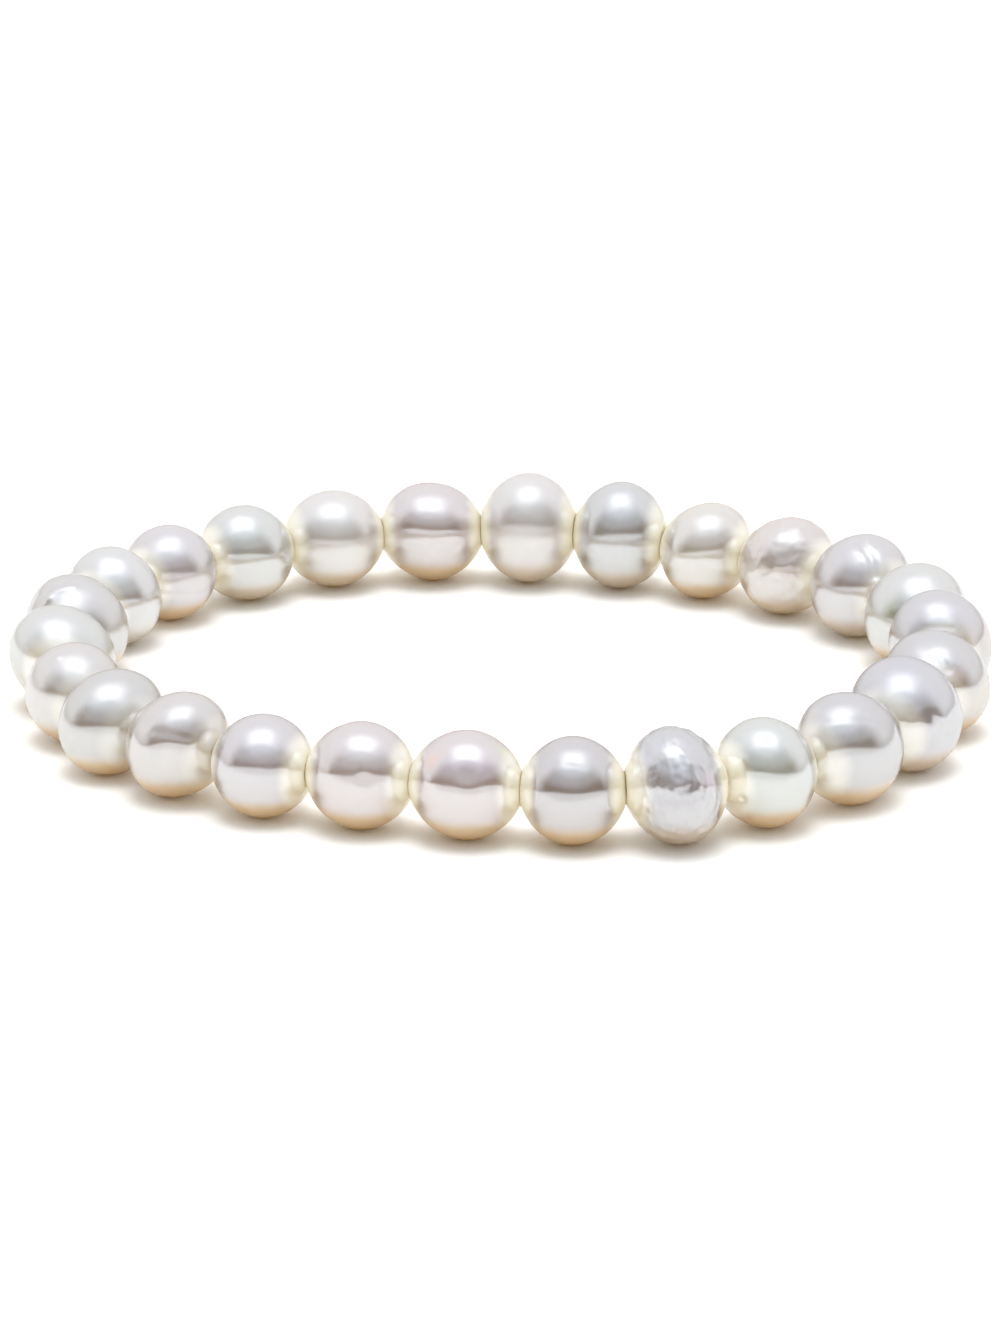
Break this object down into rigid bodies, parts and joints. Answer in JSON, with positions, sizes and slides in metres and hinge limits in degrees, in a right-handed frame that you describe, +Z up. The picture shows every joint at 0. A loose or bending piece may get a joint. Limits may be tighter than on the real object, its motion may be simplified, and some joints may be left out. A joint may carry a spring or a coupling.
{
  "type": "pearl bracelet",
  "caption": "Elastic stretch bracelet of off-round white freshwater pearls, strung touching one another and lying flat as a closed oval.",
  "frame": {"origin": "on the floor, under the middle of the bracelet's box", "axes": "+Z up out of the flat bracelet, +X along the oval's longer side"},
  "size_m": [0.0708, 0.0638, 0.0084],
  "materials": {
    "nacre_silver": "silver-white nacre, high lustre",
    "nacre_lavender": "white nacre with a lavender cast, high lustre",
    "nacre_cream": "cream-white nacre, soft lustre",
    "nacre_rose": "white nacre with a rose cast, bright lustre",
    "nacre_sage": "white nacre with a grey-green cast, bright lustre",
    "elastic": "clear white elastic cord, smooth"
  },
  "bodies": {
    "root": {"pearl_01": "nacre_lavender", "pearl_02": "nacre_silver", "pearl_03": "nacre_silver", "pearl_04": "nacre_sage", "pearl_05": "nacre_silver", "pearl_06": "nacre_silver", "pearl_07": "nacre_rose", "pearl_08": "nacre_lavender", "pearl_09": "nacre_sage", "pearl_10": "nacre_silver", "pearl_11": "nacre_rose", "pearl_12": "nacre_cream", "pearl_13": "nacre_silver", "pearl_14": "nacre_lavender", "pearl_15": "nacre_lavender", "pearl_16": "nacre_cream", "pearl_17": "nacre_sage", "pearl_18": "nacre_silver", "pearl_19": "nacre_sage", "pearl_20": "nacre_rose", "pearl_21": "nacre_sage", "pearl_22": "nacre_rose", "pearl_23": "nacre_rose", "pearl_24": "nacre_rose", "pearl_25": "nacre_lavender", "pearl_26": "nacre_lavender", "elastic_thread": "elastic"}
  },
  "joints": []
}
